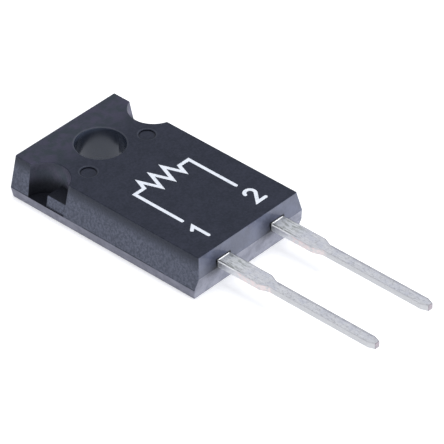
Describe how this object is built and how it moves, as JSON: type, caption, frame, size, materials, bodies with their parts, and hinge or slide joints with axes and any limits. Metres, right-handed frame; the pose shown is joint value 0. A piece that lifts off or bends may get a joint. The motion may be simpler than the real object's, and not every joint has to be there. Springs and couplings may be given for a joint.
{
  "type": "power film resistor",
  "caption": "Flat moulded power resistor: a mounting hole and half-round side notches at one end, flat leads that narrow to straight shafts at the other, and a flat back for a heat sink.",
  "frame": {"origin": "on the mounting hole's axis, at the back face", "axes": "+Z from the back face to the marked face, -Y from the hole towards the leads, X across the case"},
  "size_m": [0.0102, 0.0292, 0.0032],
  "materials": {
    "moulding": "black moulded epoxy, satin on the marked face and grainy on the walls",
    "lead_metal": "tinned copper, dull silver",
    "alumina": "unglazed white",
    "film": "dark fired film",
    "overglaze": "green glass layer",
    "pad_metal": "fired silver",
    "solder": "dull grey solder"
  },
  "bodies": {
    "root": {"molded_case": "moulding", "lead_left": "lead_metal", "lead_right": "lead_metal", "ceramic_substrate": "alumina", "resistance_film": "film", "film_overglaze": "overglaze", "termination_pad_left": "pad_metal", "termination_pad_right": "pad_metal", "solder_joint_left": "solder", "solder_joint_right": "solder"}
  },
  "joints": []
}
